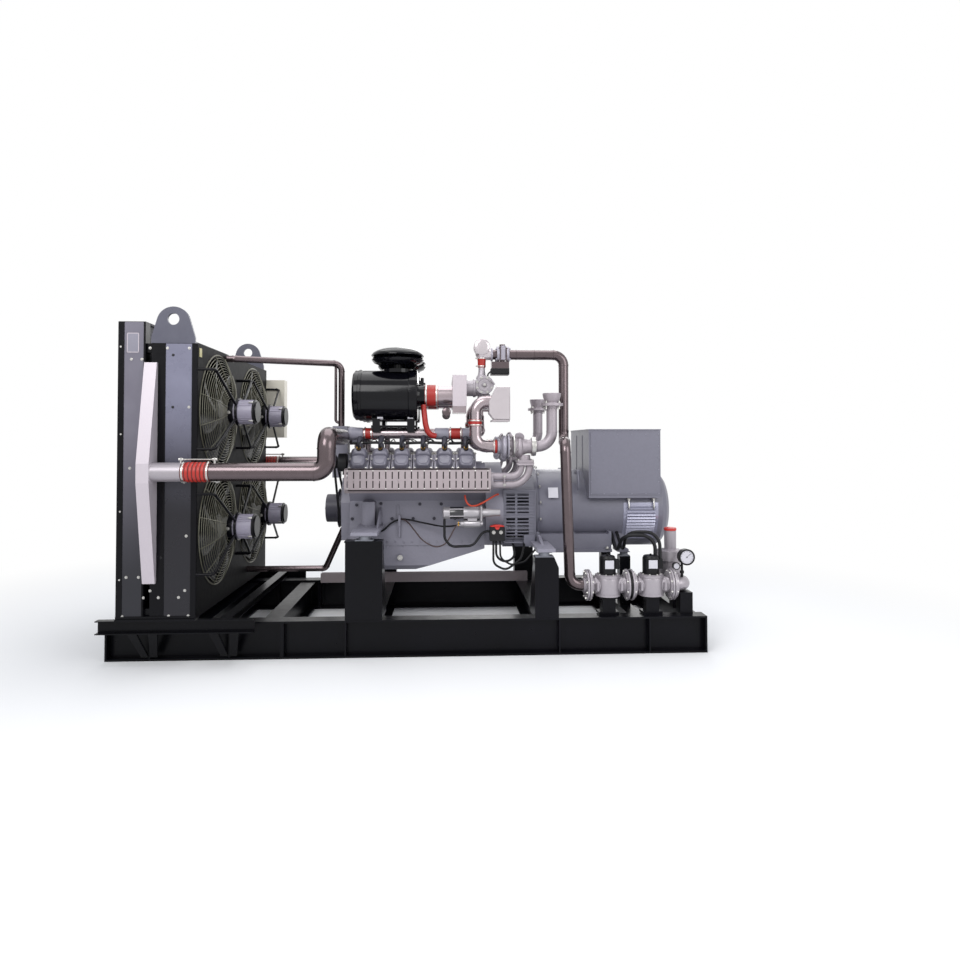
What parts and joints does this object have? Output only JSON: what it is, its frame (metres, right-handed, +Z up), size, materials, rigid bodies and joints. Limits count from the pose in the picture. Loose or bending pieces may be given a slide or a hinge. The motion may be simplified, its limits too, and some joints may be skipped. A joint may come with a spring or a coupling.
{
  "type": "gas engine generator set",
  "caption": "Skid-mounted gas engine generating set: fan radiator, V engine with turbochargers and air filters, alternator with terminal box, and a gas train along one side.",
  "frame": {"origin": "middle of the bounding box on the floor, under the skid", "axes": "+X along the skid from the radiator to the alternator, +Y across it away from the gas train, +Z up"},
  "size_m": [4.05, 2.0256, 2.3348],
  "materials": {
    "frame_paint": "gloss",
    "mount_rubber": "matte",
    "galvanised": "satin",
    "panel_paint": "satin",
    "core_fin": "matte",
    "tank_alloy": "satin",
    "guard_wire": "satin",
    "motor_grey": "satin",
    "fan_black": "satin",
    "cabinet_paint": "satin",
    "stainless": "satin",
    "silicone": "matte",
    "engine_paint": "satin",
    "rubber_black": "matte",
    "cast_cover": "satin",
    "exhaust_grey": "satin",
    "filter_black": "gloss",
    "alternator_paint": "satin",
    "train_alloy": "satin"
  },
  "bodies": {
    "set": {"main_rails": "frame_paint", "radiator_rails": "frame_paint", "cross_members": "frame_paint", "radiator_bearers": "frame_paint", "outriggers": "frame_paint", "support_posts": "frame_paint", "vibration_mounts": "mount_rubber", "cable_tray": "galvanised", "radiator_base_angles": "frame_paint", "radiator_columns": "panel_paint", "charge_air_core": "core_fin", "charge_air_tanks": "tank_alloy", "coolant_core": "core_fin", "coolant_tanks": "frame_paint", "fan_shroud": "frame_paint", "fan_rings": "frame_paint", "fan_guards": "guard_wire", "fan_motors": "motor_grey", "lifting_lugs": "frame_paint", "junction_box": "cabinet_paint", "coolant_pipes": "stainless", "charge_air_pipes": "stainless", "silicone_hoses": "silicone", "engine_block": "engine_paint", "oil_pan": "engine_paint", "front_cover": "engine_paint", "belt_drive": "rubber_black", "flywheel_housing": "engine_paint", "engine_feet": "engine_paint", "cylinder_heads": "cast_cover", "rocker_covers": "cast_cover", "exhaust_manifolds": "exhaust_grey", "heat_shields": "galvanised", "turbochargers": "cast_cover", "exhaust_outlets": "exhaust_grey", "intake_manifold": "stainless", "air_filter": "filter_black", "rain_cap": "filter_black", "intake_duct": "stainless", "gas_mixer": "cast_cover", "gas_pipe": "stainless", "starter_motor": "engine_paint", "battery_switch": "fan_black", "alternator_frame": "alternator_paint", "coupling_housing": "alternator_paint", "end_bell": "alternator_paint", "terminal_box": "alternator_paint", "gas_valves": "train_alloy", "gas_coils": "fan_black", "train_gauges": "fan_black", "gas_regulator": "train_alloy", "gas_train_stands": "frame_paint", "starter_cable": "rubber_black", "battery_cables": "rubber_black", "coil_conduit": "rubber_black"},
    "fan_upper_near": {"fan_upper_near": "fan_black"},
    "fan_upper_far": {"fan_upper_far": "fan_black"},
    "fan_lower_near": {"fan_lower_near": "fan_black"},
    "fan_lower_far": {"fan_lower_far": "fan_black"},
    "crank_damper": {"crank_damper": "engine_paint"}
  },
  "joints": [
    {"name": "fan_upper_near_spin", "type": "hinge", "parent": "set", "child": "fan_upper_near", "pos_m": [-1.35, -0.45, 1.664], "axis": [1, 0, 0], "continuous": true},
    {"name": "fan_upper_far_spin", "type": "hinge", "parent": "set", "child": "fan_upper_far", "pos_m": [-1.35, 0.45, 1.664], "axis": [1, 0, 0], "continuous": true},
    {"name": "fan_lower_near_spin", "type": "hinge", "parent": "set", "child": "fan_lower_near", "pos_m": [-1.35, -0.45, 0.85], "axis": [1, 0, 0], "continuous": true},
    {"name": "fan_lower_far_spin", "type": "hinge", "parent": "set", "child": "fan_lower_far", "pos_m": [-1.35, 0.45, 0.85], "axis": [1, 0, 0], "continuous": true},
    {"name": "crank_damper_spin", "type": "hinge", "parent": "set", "child": "crank_damper", "pos_m": [-0.6, 0, 0.935], "axis": [1, 0, 0], "continuous": true}
  ]
}
